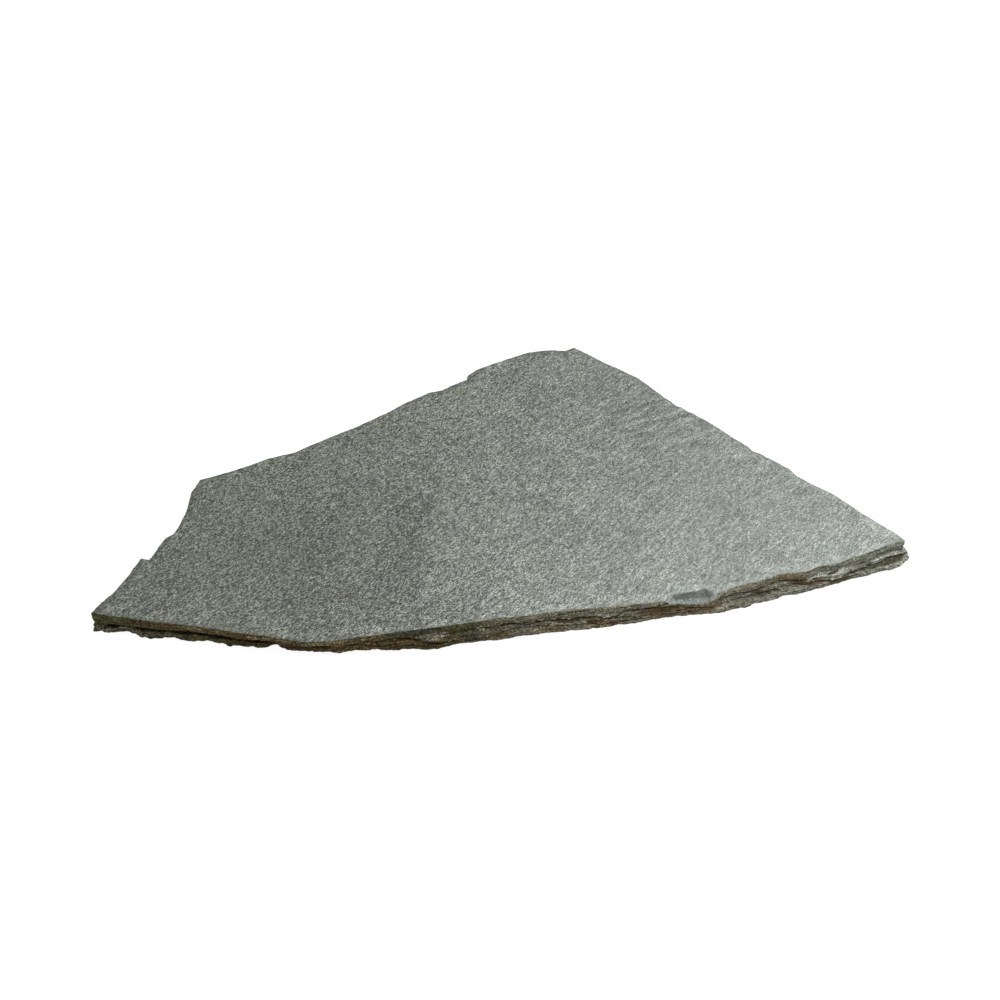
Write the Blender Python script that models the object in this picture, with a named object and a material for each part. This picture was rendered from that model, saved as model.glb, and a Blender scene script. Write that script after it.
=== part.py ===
"""Slab of split slate: three beds of stone in one piece, with a broken edge all round.

The rim is a ring of points round the top face. Under each of them the broken edge steps in and out
through twelve levels: the chipped arris, the top bed, a parting, the middle bed, a second parting and
the bottom bed. Two triangulated faces close the edge: the riven top and the underside.
"""

import math

import bmesh
import bpy
import numpy as np
from mathutils import Vector, noise
from mathutils.geometry import delaunay_2d_cdt

# Driving dimensions, in millimetres.

MM = 0.001                   # metres in a millimetre
THICKNESS = 24.0             # from the plane it rests on to the mean level of the top face
RIM_STEP = 9.0               # longest step between points along the rim
TOP_STEP = 17.0              # spacing of the points on the top face
RIPPLE_STEP = 6.8            # the same, where the ripples are
UNDERSIDE_STEP = 23.0        # spacing of the points on the underside

# Rim of the top face as (x, y), against the clock from the left tip. The front runs from the left tip to
# the right tip, and the back runs from there over the far corner and down the left end.
FRONT_RIM = [
    (-390, -221), (-377, -224.5), (-343, -232), (-305, -239), (-281, -243), (-252, -250.5), (-220, -256),
    (-205, -260), (-194, -263.5), (-182, -264.5), (-159, -261.5), (-140, -257), (-123, -253.5), (-93, -247),
    (-67, -242), (-38, -236), (-24, -232), (-6, -227.5), (13, -226), (30, -221), (58, -216.5), (95, -212),
    (124, -207.5),
    (139, -205), (155, -201.5), (172, -200), (182, -199.5), (191, -196.5), (196, -193.5), (206, -189),
    (213, -183.5), (224, -179.5), (238, -174), (253, -166.5), (261, -161.5), (278, -159), (289, -157),
    (295, -152), (302, -148.5), (311, -147), (321, -143), (327, -139.5), (332.5, -136), (338, -133.4),
    (348, -128.1), (353.5, -125), (359, -122.3), (364, -119.4), (370, -115.5), (375, -112.1), (386, -107.6),
    (390, -107),
]
BACK_RIM = [
    (390, -107), (384, -97), (368, -78), (355, -61.5), (331, -28), (310, -9), (298, 4), (291, 18),
    (272, 39.5), (265, 50), (258, 54.5), (254, 63), (234, 85.5), (212, 113), (184, 141), (168, 164),
    (146, 198), (139, 205), (121, 221), (110, 230), (94, 247.5), (76.5, 264.5), (66, 257.5), (48, 259.5),
    (26, 255), (16, 249.5), (-13, 231), (-33, 217), (-43.5, 205), (-44.5, 195.5), (-62, 183), (-71, 173.5),
    (-86, 168), (-114, 143.5), (-131, 125), (-164, 96.5), (-181, 84.5), (-211, 60.5), (-224, 49),
    (-250, 38.5), (-268, 26), (-285, 15), (-302, 5.5), (-316, -1.5), (-322, -24), (-323, -58), (-327, -84),
    (-331, -96), (-338, -102), (-347, -135), (-349, -138), (-357, -136), (-365, -165), (-374, -190),
    (-384, -208), (-390, -221),
]

# Form of the broken edge at places along each side, by x. After x come: how far the arris is chipped
# back and how deep, the height and depth of the upper parting, how far the middle bed stands out past
# the rim (or is broken back, if negative), the height and depth of the lower parting, and how far the
# bottom bed stands out.
FRONT_EDGE = [
    (-390, 0.2, 0.3, 13.0, 0.5, 1.0, 6.6, 0.4, -0.4),
    (-382, 0.2, 0.3, 13.0, 2.0, 0.5, 7.4, 0.5, -3.0),
    (-373, 0.2, 0.3, 13.0, 4.0, -6.0, 8.8, 0.6, -0.2),
    (-364, 0.2, 0.3, 13.4, 5.0, -10.0, 9.2, 0.8, -5.8),
    (-355, 0.2, 0.3, 13.8, 5.0, -12.0, 9.6, 0.8, -4.2),
    (-344, 0.2, 0.3, 14.0, 5.0, -12.0, 9.6, 0.8, -0.9),
    (-324, 0.2, 0.3, 14.4, 5.0, -12.0, 9.6, 0.8, -5.0),
    (-290, 0.2, 0.3, 15.2, 5.0, -12.0, 9.0, 1.0, -5.5),
    (-252, 0.2, 0.3, 15.8, 5.0, -12.0, 8.0, 1.5, -6.6),
    (-222, 0.2, 0.3, 16.0, 5.0, -13.0, 7.0, 2.0, -10.5),
    (-216, 0.2, 0.3, 16.2, 4.0, -9.0, 5.9, 2.6, -16.0),
    (-210, 0.2, 0.3, 16.6, 2.6, -2.5, 7.7, 3.0, -19.0),
    (-190, 0.2, 0.3, 17.4, 2.6, -2.0, 8.5, 3.0, -21.0),
    (-168, 0.2, 0.3, 17.4, 2.6, -1.8, 7.7, 3.0, -20.0),
    (-152, 0.2, 0.3, 17.2, 2.4, -0.8, 4.9, 3.6, -14.0),
    (-140, 0.2, 0.3, 17.0, 2.6, 0.8, 5.2, 4.0, -6.2),
    (-122, 0.2, 0.3, 14.0, 2.6, 2.4, 7.2, 4.5, -4.8),
    (-106, 0.2, 0.3, 15.4, 2.8, 3.0, 7.0, 4.5, -2.1),
    (-95, 0.2, 0.3, 13.0, 3.0, 2.5, 6.2, 3.8, 0.8),
    (-84, 0.2, 0.3, 9.8, 2.2, 2.5, 4.2, 2.5, 2.8),
    (-75, 0.2, 0.3, 11.0, 0.8, 2.5, 4.6, 2.5, 5.8),
    (-67, 0.2, 0.3, 12.6, 1.0, 2.5, 5.0, 3.0, 7.7),
    (-56, 0.2, 0.3, 13.6, 1.2, 2.0, 5.3, 3.5, 4.8),
    (-42, 0.2, 0.3, 13.4, 1.4, 3.0, 6.0, 2.5, -1.6),
    (-26, 0.2, 0.3, 14.0, 3.2, 3.4, 6.4, 2.0, 2.9),
    (-12, 0.2, 0.3, 11.6, 3.6, 3.4, 6.4, 1.5, 5.8),
    (4, 0.2, 0.3, 15.4, 3.0, 1.0, 8.0, 1.5, 2.9),
    (14, 0.2, 0.3, 14.8, 5.0, 0.0, 8.6, 1.5, 1.1),
    (24, 0.2, 0.3, 13.2, 5.4, 0.0, 8.2, 1.2, 2.8),
    (40, 0.2, 0.3, 13.4, 5.2, 0.5, 7.8, 1.2, 2.9),
    (50, 0.2, 0.3, 11.8, 5.2, 0.5, 7.2, 1.2, 3.3),
    (70, 0.2, 0.3, 11.4, 5.2, 1.0, 6.8, 1.2, 4.5),
    (79, 0.2, 0.3, 13.0, 5.0, 2.2, 6.4, 1.4, 3.8),
    (86, 0.2, 0.3, 11.6, 4.4, 3.4, 5.4, 1.4, 3.5),
    (93, 0.2, 0.3, 8.0, 3.4, 3.0, 4.0, 1.2, 3.7),
    (100, 0.2, 0.3, 11.0, 2.0, 1.6, 5.2, 2.0, 0.4),
    (109, 0.2, 0.3, 16.6, 3.0, 0.8, 8.4, 2.2, 0.6),
    (126, 0.2, 0.3, 16.6, 4.8, 0.5, 9.5, 1.6, -0.2),
    (139, 0.4, 0.4, 16.6, 3.8, 0.5, 9.5, 2.4, -0.6),
    (147, 1.0, 0.8, 15.8, 2.0, 1.0, 9.0, 3.2, -0.7),
    (153, 7.5, 3.5, 14.8, 1.8, 1.0, 8.8, 3.4, -1.6),
    (168, 10.0, 5.0, 13.2, 0.8, 1.0, 8.5, 4.0, -3.0),
    (180, 12.0, 5.5, 12.8, 0.8, 0.0, 8.0, 4.0, -2.7),
    (191, 13.0, 6.0, 12.8, 1.2, 0.0, 8.0, 3.5, -2.3),
    (196, 3.0, 4.0, 14.6, 3.2, 1.0, 9.0, 2.2, -0.5),
    (206, 0.5, 0.4, 16.6, 4.0, 2.0, 10.4, 2.0, 2.1),
    (213, 0.2, 0.3, 14.6, 4.4, 2.2, 9.6, 2.0, 4.2),
    (225, 0.2, 0.3, 13.4, 4.4, 2.4, 9.4, 1.6, 6.0),
    (239, 0.2, 0.3, 13.4, 4.0, 2.8, 9.4, 1.4, 4.6),
    (249, 0.2, 0.3, 14.0, 3.6, 3.0, 10.2, 1.4, 6.6),
    (260, 0.2, 0.3, 15.0, 4.2, 3.4, 11.0, 1.4, 7.6),
    (270, 0.2, 0.3, 14.6, 4.2, 3.0, 10.8, 1.4, 6.1),
    (277, 0.2, 0.3, 14.2, 4.2, 2.4, 10.6, 1.4, 4.0),
    (291, 0.2, 0.3, 13.2, 3.0, 2.6, 9.6, 3.0, 4.5),
    (302, 0.2, 0.3, 15.0, 0.5, 3.4, 8.0, 3.2, 8.0),
    (314, 0.2, 0.3, 15.0, 0.5, 4.4, 9.0, 4.6, 3.6),
    (327, 0.2, 0.3, 14.0, 0.4, 3.8, 10.8, 5.0, 3.8),
    (340, 0.2, 0.3, 13.2, 0.4, 3.0, 10.4, 5.4, 4.8),
    (355, 0.2, 0.3, 12.2, 0.4, 3.4, 9.6, 5.4, 7.6),
    (366, 0.2, 0.3, 12.6, 0.4, 4.4, 9.6, 5.4, 12.8),
    (379, 0.2, 0.3, 12.0, 0.4, 5.4, 9.0, 5.2, 12.6),
    (390, 0.2, 0.3, 12.4, 0.6, 4.2, 8.8, 4.2, 5.6),
]
BACK_EDGE = [
    (-390, 0.2, 0.3, 13.0, 0.5, 1.0, 6.6, 0.4, -0.4),
    (-382, 0.2, 0.3, 13.4, 1.4, 1.0, 6.6, 0.8, -1.0),
    (-352, 0.6, 0.5, 15.0, 4.4, -5.0, 7.0, 2.0, -6.0),
    (-325, 0.2, 0.3, 13.5, 4.8, -3.0, 8.5, 3.0, -6.0),
    (-260, 0.2, 0.3, 13.0, 5.2, -6.0, 7.5, 1.2, -3.0),
    (-170, 0.6, 0.5, 15.0, 1.0, -1.0, 8.5, 4.6, 1.5),
    (-45, 0.2, 0.3, 13.5, 4.6, -5.0, 8.0, 2.2, -7.0),
    (60, 0.2, 0.3, 15.0, 1.4, 1.0, 9.5, 4.8, -4.0),
    (150, 0.2, 0.3, 13.0, 5.2, -6.0, 7.0, 2.0, 1.0),
    (234, 0.2, 0.3, 14.5, 3.2, -1.0, 8.0, 3.2, -3.0),
    (246, 9.0, 0.7, 15.0, 2.0, -1.0, 9.0, 3.2, -4.0),
    (256, 14.0, 1.4, 15.0, 2.0, -1.0, 9.0, 3.2, -4.0),
    (265, 6.0, 1.2, 15.0, 2.0, -1.0, 9.0, 3.2, -4.0),
    (272, 0.3, 0.3, 14.5, 2.6, -2.0, 8.5, 3.4, -4.0),
    (345, 0.2, 0.3, 13.0, 1.0, 2.0, 8.0, 5.0, -1.0),
    (390, 0.2, 0.3, 12.4, 0.6, 4.2, 8.8, 4.2, 5.6),
]

RIM_SPARE = 0.5              # the top bed stands this far out of the rim line
ARRIS_DROP = 0.9             # height of the rounded edge under the chipped arris
PARTING_HALF = 0.8           # half the height of a parting where it opens at the edge
PARTING_CHANGE = 0.4         # a parting is deeper and shallower than its table says by up to this share
PARTING_RUN = 45.0           # and this is the distance along the edge over which it changes
BULGE = 1.2                  # the bottom bed swells out by this much below its upper lip
FOOT_BACK = 1.4              # the bottom arris is broken back by about this much
FOOT_RISE = 0.5              # and up by about this much
NORMAL_REACH = 3             # rim points on each side that share in the direction of the edge
JAG_WIDTH = 26.0             # width of the jags of each bed along the edge
TOP_JAG = 0.6                # their depth on the top bed, and on the beds below
LOWER_JAG = 1.8

SWELL = (210.0, 0.7)         # width and height of the slow swell of the top face
ROUGHNESS = (38.0, 0.28)     # and of the rougher rise and fall on it
FOLD_X = -78.0               # a low fold from the front towards the back, higher to its right
FOLD_FROM = -190.0
FOLD_TO = -20.0
FOLD_END = 40.0              # length over which it fades out at each end
FOLD_WIDTH = 16.0
FOLD_HEIGHT = 0.7
RIPPLE_CENTRE = (152.0, 108.0)
RIPPLE_REACH = (88.0, 66.0)  # half-lengths of the rippled patch along and across the ripples
RIPPLE_BORDER = 0.45         # share of those over which the ripples fade out
RIPPLE_TURN = math.radians(34.0)
RIPPLE_PITCH = 15.0
RIPPLE_HEIGHT = 0.75
RIPPLE_WANDER = (45.0, 0.35)  # width of their bends, and their size as a share of the pitch

SPLIT_WIDTH = 150.0          # the underside is flat but for shallow beds that have split off it
SPLIT_LEVEL = 0.12           # where the noise is above this, a bed has split off
SPLIT_STEEPNESS = 22.0       # of the edges of those hollows, per unit of noise
SPLIT_DEPTH = 1.8

CLEARANCE = 0.55             # free points keep this share of their spacing from the rim
SCATTER = 0.2                # and stray from their grid by this share of it
SCATTER_WIDTH = 9.0
NOISE_GAIN = 1.7             # brings the noise to a range of about -1 to 1
LAYER_GAP = 4.7              # distance between the layers that unlike features take their noise from

OBJECT_NAME = "slate_slab"
STONE_COLOR = (0.235, 0.255, 0.225, 1.0)
STONE_ROUGHNESS = 0.82


def clear_scene():
    for old in list(bpy.data.objects):
        bpy.data.objects.remove(old, do_unlink=True)


def wave(x, y, width, layer):
    """Smooth noise from about -1 to 1, with features of the given width."""
    return NOISE_GAIN * noise.noise(Vector((x / width, y / width, LAYER_GAP * layer)))


def smooth_step(value):
    share = min(max(value, 0.0), 1.0)
    return share * share * (3.0 - 2.0 * share)


# The top face and the underside.


def ripple_place(x, y):
    """Distances along and across the ripples from the middle of the rippled patch."""
    dx = x - RIPPLE_CENTRE[0]
    dy = y - RIPPLE_CENTRE[1]
    along = dx * math.cos(RIPPLE_TURN) + dy * math.sin(RIPPLE_TURN)
    across = dy * math.cos(RIPPLE_TURN) - dx * math.sin(RIPPLE_TURN)
    return along, across


def ripple_share(x, y):
    """1 in the middle of the rippled patch, falling to 0 at its border."""
    along, across = ripple_place(x, y)
    reach = math.hypot(along / RIPPLE_REACH[0], across / RIPPLE_REACH[1])
    return smooth_step((1.0 - reach) / RIPPLE_BORDER)


def fold_height(x, y):
    share = smooth_step((y - FOLD_FROM) / FOLD_END) * smooth_step((FOLD_TO - y) / FOLD_END)
    return FOLD_HEIGHT * share * (smooth_step((x - FOLD_X) / FOLD_WIDTH) - 0.5)


def ripple_height(x, y):
    across = ripple_place(x, y)[1]
    turns = across / RIPPLE_PITCH + RIPPLE_WANDER[1] * wave(x, y, RIPPLE_WANDER[0], 3)
    return RIPPLE_HEIGHT * ripple_share(x, y) * math.sin(2.0 * math.pi * turns)


def top_height(x, y):
    swell = SWELL[1] * wave(x, y, SWELL[0], 1)
    rough = ROUGHNESS[1] * wave(x, y, ROUGHNESS[0], 2)
    return THICKNESS + swell + rough + fold_height(x, y) + ripple_height(x, y)


def underside_height(x, y):
    """0 on the flat that the slab rests on, and up to SPLIT_DEPTH where a bed has split off."""
    return SPLIT_DEPTH * smooth_step((wave(x, y, SPLIT_WIDTH, 5) - SPLIT_LEVEL) * SPLIT_STEEPNESS)


def row_crossings(ring, y):
    """Where a line along x at the given y crosses the ring."""
    crossings = []
    for (xa, ya), (xb, yb) in zip(ring, np.roll(ring, -1, axis=0)):
        if (ya > y) != (yb > y):
            crossings.append(xa + (y - ya) * (xb - xa) / (yb - ya))
    return crossings


def free_points(ring, step, wanted):
    """Staggered grid of points inside the ring and clear of it, where `wanted` says yes."""
    low = ring.min(axis=0)
    high = ring.max(axis=0)
    row_step = step * math.sqrt(3.0) / 2.0
    points = []
    for row in range(1, int((high[1] - low[1]) / row_step)):
        y = low[1] + row * row_step
        crossings = row_crossings(ring, y)
        stagger = 0.5 * step * (row % 2)
        for column in range(int((high[0] - low[0]) / step) + 1):
            x = low[0] + column * step + stagger
            inside = sum(crossing < x for crossing in crossings) % 2 == 1
            gap = np.hypot(ring[:, 0] - x, ring[:, 1] - y).min()
            if inside and gap > CLEARANCE * step and wanted(x, y):
                stray_x = SCATTER * step * wave(x, y, SCATTER_WIDTH, 6)
                stray_y = SCATTER * step * wave(x, y, SCATTER_WIDTH, 7)
                points.append((x + stray_x, y + stray_y))
    return points


def flat_ring(row):
    return np.array([(vert.co.x / MM, vert.co.y / MM) for vert in row])


def close_face(bm, row, points, height):
    """Triangulate the face inside a row of vertices, over free points at the given height."""
    flat = [Vector(place) for place in flat_ring(row)]
    flat += [Vector(point) for point in points]
    border = [(i, (i + 1) % len(row)) for i in range(len(row))]
    faces, sources = delaunay_2d_cdt(flat, border, [], 1, 1e-4)[2:4]
    verts = row + [bm.verts.new((x * MM, y * MM, height(x, y) * MM)) for x, y in points]
    for face in faces:
        bm.faces.new([verts[sources[i][0]] for i in face])


# The broken edge.


def divide_side(corners):
    """Points along one side, no further apart than RIM_STEP, without the side's last corner."""
    points = []
    for (x0, y0), (x1, y1) in zip(corners, corners[1:]):
        count = math.ceil(math.hypot(x1 - x0, y1 - y0) / RIM_STEP)
        for i in range(count):
            points.append((x0 + (x1 - x0) * i / count, y0 + (y1 - y0) * i / count))
    return points


def edge_form(points, table):
    """Form of the edge at each point of one side, read from that side's table by x."""
    rows = np.array(table)
    xs = [x for x, _ in points]
    return np.column_stack([np.interp(xs, rows[:, 0], rows[:, i]) for i in range(1, rows.shape[1])])


def outward_directions(ring):
    """Direction out of the slab at each rim point, smoothed over its neighbours."""
    along = sum(np.roll(ring, -k, axis=0) - np.roll(ring, k, axis=0) for k in range(1, NORMAL_REACH + 1))
    outward = np.column_stack([along[:, 1], -along[:, 0]])
    return outward / np.linalg.norm(outward, axis=1, keepdims=True)


def edge_levels(point, form):
    """Steps of the edge under one rim point, as (distance out of the rim, height), from the top down."""
    x, y = point
    chip_back, chip_drop, upper, upper_depth, middle_out, lower, lower_depth, bottom_out = form
    top = top_height(x, y)
    shoulder = top - chip_drop
    top_out = RIM_SPARE + TOP_JAG * wave(x, y, JAG_WIDTH, 11)
    middle_out = middle_out + LOWER_JAG * wave(x, y, JAG_WIDTH, 12)
    bottom_out = bottom_out + LOWER_JAG * wave(x, y, JAG_WIDTH, 13)
    upper_depth = upper_depth * (1.0 + PARTING_CHANGE * wave(x, y, PARTING_RUN, 14))
    lower_depth = lower_depth * (1.0 + PARTING_CHANGE * wave(x, y, PARTING_RUN, 15))
    foot = 1.0 + 0.5 * wave(x, y, JAG_WIDTH, 16)
    return [
        (RIM_SPARE - chip_back, top),
        (RIM_SPARE - 0.5 * chip_back, shoulder),
        (RIM_SPARE + 0.3, shoulder - ARRIS_DROP),
        (top_out, 0.5 * (shoulder + upper)),
        (top_out - 0.6, upper + PARTING_HALF),
        (min(top_out, middle_out) - upper_depth, upper),
        (middle_out - 0.5, upper - PARTING_HALF),
        (middle_out, lower + PARTING_HALF),
        (min(middle_out, bottom_out) - lower_depth, lower),
        (bottom_out + 0.3 * BULGE, lower - PARTING_HALF),
        (bottom_out + BULGE, 0.45 * lower),
        (bottom_out + BULGE - FOOT_BACK * foot, FOOT_RISE * foot),
    ]


def build_edge(bm):
    """Loft the broken edge, and return its rows of vertices from the top down."""
    front = divide_side(FRONT_RIM)
    back = divide_side(BACK_RIM)
    ring = np.array(front + back)
    outward = outward_directions(ring)
    forms = np.vstack([edge_form(front, FRONT_EDGE), edge_form(back, BACK_EDGE)])
    columns = []
    for (x, y), (out_x, out_y), form in zip(ring, outward, forms):
        steps = edge_levels((x, y), form)
        places = [((x + out_x * out) * MM, (y + out_y * out) * MM, z * MM) for out, z in steps]
        columns.append([bm.verts.new(place) for place in places])
    for column, following in zip(columns, columns[1:] + columns[:1]):
        for i in range(len(column) - 1):
            bm.faces.new((column[i], column[i + 1], following[i + 1], following[i]))
    return [list(row) for row in zip(*columns)]


def centre_on_base(bm):
    """Put the origin under the middle of the slab, in the plane that it rests on."""
    places = np.array([vert.co for vert in bm.verts])
    low = places.min(axis=0)
    high = places.max(axis=0)
    origin = Vector(((low[0] + high[0]) / 2.0, (low[1] + high[1]) / 2.0, low[2]))
    bmesh.ops.translate(bm, verts=bm.verts[:], vec=-origin)


def build_slab_mesh():
    bm = bmesh.new()
    rows = build_edge(bm)
    top = flat_ring(rows[0])
    points = free_points(top, TOP_STEP, lambda x, y: ripple_share(x, y) <= 0.0)
    points += free_points(top, RIPPLE_STEP, lambda x, y: ripple_share(x, y) > 0.0)
    close_face(bm, rows[0], points, top_height)
    points = free_points(flat_ring(rows[-1]), UNDERSIDE_STEP, lambda x, y: True)
    close_face(bm, rows[-1], points, underside_height)
    bmesh.ops.triangulate(bm, faces=bm.faces[:], quad_method="SHORT_EDGE")
    bmesh.ops.recalc_face_normals(bm, faces=bm.faces[:])
    centre_on_base(bm)
    mesh = bpy.data.meshes.new(OBJECT_NAME)
    bm.to_mesh(mesh)
    bm.free()
    return mesh


def stone_material():
    material = bpy.data.materials.new("slate")
    material.use_nodes = True
    shader = material.node_tree.nodes["Principled BSDF"]
    shader.inputs["Base Color"].default_value = STONE_COLOR
    shader.inputs["Roughness"].default_value = STONE_ROUGHNESS
    shader.inputs["Metallic"].default_value = 0.0
    return material


def main():
    clear_scene()
    collection = bpy.data.collections.new(OBJECT_NAME)
    bpy.context.scene.collection.children.link(collection)
    slab = bpy.data.objects.new(OBJECT_NAME, build_slab_mesh())
    slab.data.materials.append(stone_material())
    collection.objects.link(slab)


main()
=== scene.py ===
import math

import bmesh
import bpy
import numpy as np
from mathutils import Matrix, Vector, noise


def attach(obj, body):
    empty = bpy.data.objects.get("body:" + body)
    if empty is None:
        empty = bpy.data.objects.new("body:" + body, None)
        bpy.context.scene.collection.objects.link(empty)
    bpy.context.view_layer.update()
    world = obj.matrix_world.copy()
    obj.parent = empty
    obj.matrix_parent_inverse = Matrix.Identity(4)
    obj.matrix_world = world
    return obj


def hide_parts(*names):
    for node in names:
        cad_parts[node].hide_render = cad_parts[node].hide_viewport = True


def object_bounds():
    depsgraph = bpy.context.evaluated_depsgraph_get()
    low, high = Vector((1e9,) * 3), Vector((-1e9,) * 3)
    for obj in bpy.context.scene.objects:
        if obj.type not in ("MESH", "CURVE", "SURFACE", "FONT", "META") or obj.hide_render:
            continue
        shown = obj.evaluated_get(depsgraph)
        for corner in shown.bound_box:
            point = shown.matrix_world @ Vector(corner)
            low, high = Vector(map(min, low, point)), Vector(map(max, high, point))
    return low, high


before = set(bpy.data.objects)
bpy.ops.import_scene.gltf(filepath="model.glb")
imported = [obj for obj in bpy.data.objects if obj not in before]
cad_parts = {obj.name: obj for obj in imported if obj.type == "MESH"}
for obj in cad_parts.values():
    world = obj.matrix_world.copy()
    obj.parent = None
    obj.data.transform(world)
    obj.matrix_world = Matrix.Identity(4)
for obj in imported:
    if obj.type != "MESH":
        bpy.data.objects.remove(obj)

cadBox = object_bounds()
mm = 0.001
white = (1.0, 1.0, 1.0, 1.0)


# camera, floor and lights

cameraSetup = {
    "name": "studioCamera",
    "aim": (-0.010795, -0.020777, 0.012),
    "distance": 1.99059,
    "elevation": math.radians(35.0),
    "lens": 70.0,
    "sensor": 36.0,
}


def addCamera(setup):
    aim = Vector(setup["aim"])
    lift = setup["elevation"]
    back = Vector((0.0, -math.cos(lift), math.sin(lift)))
    bpy.ops.object.camera_add(
        location=aim + back * setup["distance"],
        rotation=(math.radians(90.0) - lift, 0.0, 0.0),
    )
    eye = bpy.context.object
    eye.name = setup["name"]
    eye.data.lens = setup["lens"]
    eye.data.sensor_width = setup["sensor"]
    bpy.context.scene.camera = eye


addCamera(cameraSetup)
print("camera placed")

floorSetup = {
    "name": "studioFloor",
    "size": 14.0,
    "level": -0.0003,
    "color": (0.13, 0.13, 0.13, 1.0),
    "driftColor": (0.12805, 0.12805, 0.12805, 1.0),
    "driftSize": (0.6, 0.6, 0.6),
    "glow": 0.93,             # the floor gives off light too, so that it stays pale round the slab
    "roughness": 0.9,
}

skySetup = {
    "name": "studioSky",
    "color": white,
    "strength": 1.0,
}

# a soft box: where it stands, what it points at, its size and its power
keyBox = {
    "name": "keyBox",
    "at": (0.514, -0.286, 0.7),
    "to": (0.2, 0.0, 0.0),
    "size": (0.6, 0.6),
    "power": 14.5,
}


def addLight(box):
    at = Vector(box["at"])
    facing = (Vector(box["to"]) - at).to_track_quat("-Z", "Y").to_euler()
    bpy.ops.object.light_add(type="AREA", location=at, rotation=facing)
    lamp = bpy.context.object
    lamp.name = box["name"]
    lamp.data.shape = "RECTANGLE"
    lamp.data.size = box["size"][0]
    lamp.data.size_y = box["size"][1]
    lamp.data.energy = box["power"]


def addSky(setup):
    world = bpy.data.worlds.new(setup["name"])
    world.use_nodes = True
    sky = world.node_tree.nodes["Background"]
    sky.inputs["Color"].default_value = setup["color"]
    sky.inputs["Strength"].default_value = setup["strength"]
    bpy.context.scene.world = world
    bpy.context.scene.view_settings.view_transform = "Standard"


# one socket of a node tree: sums and products add Math nodes, and node() adds any other node
class Strand:
    def __init__(self, tree, socket=None):
        self.tree = tree
        self.socket = socket

    def node(self, kind, settings=None, values=None, output=0):
        made = self.tree.nodes.new(kind)
        for name, value in (settings or {}).items():
            setattr(made, name, value)
        for name, value in (values or {}).items():
            socket = made.inputs[name]
            if isinstance(value, Strand):
                self.tree.links.new(value.socket, socket)
            else:
                socket.default_value = value
        return Strand(self.tree, made.outputs[output])

    def maths(self, operation, *others):
        values = {i: other for i, other in enumerate(others)}
        return self.node("ShaderNodeMath", {"operation": operation}, values)

    def __add__(self, other):
        return self.maths("ADD", self, other)

    def __radd__(self, other):
        return self.maths("ADD", other, self)

    def __sub__(self, other):
        return self.maths("SUBTRACT", self, other)

    def __rsub__(self, other):
        return self.maths("SUBTRACT", other, self)

    def __mul__(self, other):
        return self.maths("MULTIPLY", self, other)

    def __rmul__(self, other):
        return self.maths("MULTIPLY", other, self)

    def __rpow__(self, other):
        return self.maths("POWER", other, self)

    def atMost(self, other):
        return self.maths("MINIMUM", self, other)

    def atLeast(self, other):
        return self.maths("MAXIMUM", self, other)

    # 0 at low and under it, 1 at high and over it, smooth between
    def step(self, low, high):
        return self.node(
            "ShaderNodeMapRange",
            {"interpolation_type": "SMOOTHSTEP"},
            {"Value": self, "From Min": low, "From Max": high},
        )

    # the Mix node names its sockets alike for every type, so those for colours go by number
    def mixColors(self, how, share, first, second):
        return self.node(
            "ShaderNodeMix",
            {"data_type": "RGBA", "blend_type": how},
            {0: share, 6: first, 7: second},
            2,
        )

    # blend from one colour to another, with this strand as the share of the second
    def blend(self, first, second):
        return self.mixColors("MIX", self, first, second)


def timesColor(first, second):
    return second.mixColors("MULTIPLY", 1.0, first, second)


# a grey from one number, to multiply a colour by
def greyOf(value):
    return value.node("ShaderNodeCombineColor", {}, {0: value, 1: value, 2: value})


# size is the length of one unit of the pattern along each axis, in metres
def mapped(place, size, turn=0.0, shift=(0.0, 0.0, 0.0)):
    turned = place.node(
        "ShaderNodeMapping",
        {"vector_type": "POINT"},
        {"Vector": place, "Rotation": (0.0, 0.0, turn), "Location": shift},
    )
    scale = tuple(1.0 / side for side in size)
    return place.node("ShaderNodeVectorMath", {"operation": "MULTIPLY"}, {0: turned, 1: scale})


def noiseField(place, size, turn=0.0, shift=(0.0, 0.0, 0.0), detail=2.0, roughness=0.5):
    return place.node(
        "ShaderNodeTexNoise",
        {},
        {
            "Vector": mapped(place, size, turn, shift),
            "Scale": 1.0,
            "Detail": detail,
            "Roughness": roughness,
        },
    )


def floorMaterial(setup):
    material = bpy.data.materials.new("paleFloor")
    material.use_nodes = True
    tree = material.node_tree
    shader = tree.nodes["Principled BSDF"]
    place = Strand(tree).node("ShaderNodeTexCoord", output="Object")
    drift = noiseField(place, setup["driftSize"])
    tint = drift.blend(setup["color"], setup["driftColor"])
    tree.links.new(tint.socket, shader.inputs["Base Color"])
    shader.inputs["Roughness"].default_value = setup["roughness"]
    shader.inputs["Emission Color"].default_value = white
    shader.inputs["Emission Strength"].default_value = setup["glow"]
    return material


def addFloor(setup):
    bpy.ops.mesh.primitive_plane_add(size=setup["size"], location=(0.0, 0.0, setup["level"]))
    floor = bpy.context.object
    floor.name = setup["name"]
    bpy.ops.object.transform_apply(location=True)
    floor.data.materials.append(floorMaterial(setup))


addFloor(floorSetup)
addSky(skySetup)
addLight(keyBox)
print("floor, sky and soft box placed")


# lengths in metres; a tilt is the z of a face's normal
slabSetup = {
    "name": "slateSlab",
    "mergeGap": 1e-5,
    "topTilt": 0.8,           # the split top faces up at least this much, above this level
    "topLevel": 0.0176,
    "underTilt": -0.9,        # the underside faces down at least this much, below this level
    "underLevel": 0.003,
    "quadAngle": math.radians(60.0),
    "cuts": 5,
    "triangles": 190000,
    "smoothAngle": math.radians(24.0),
    "inset": 0.00005,
}

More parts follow.
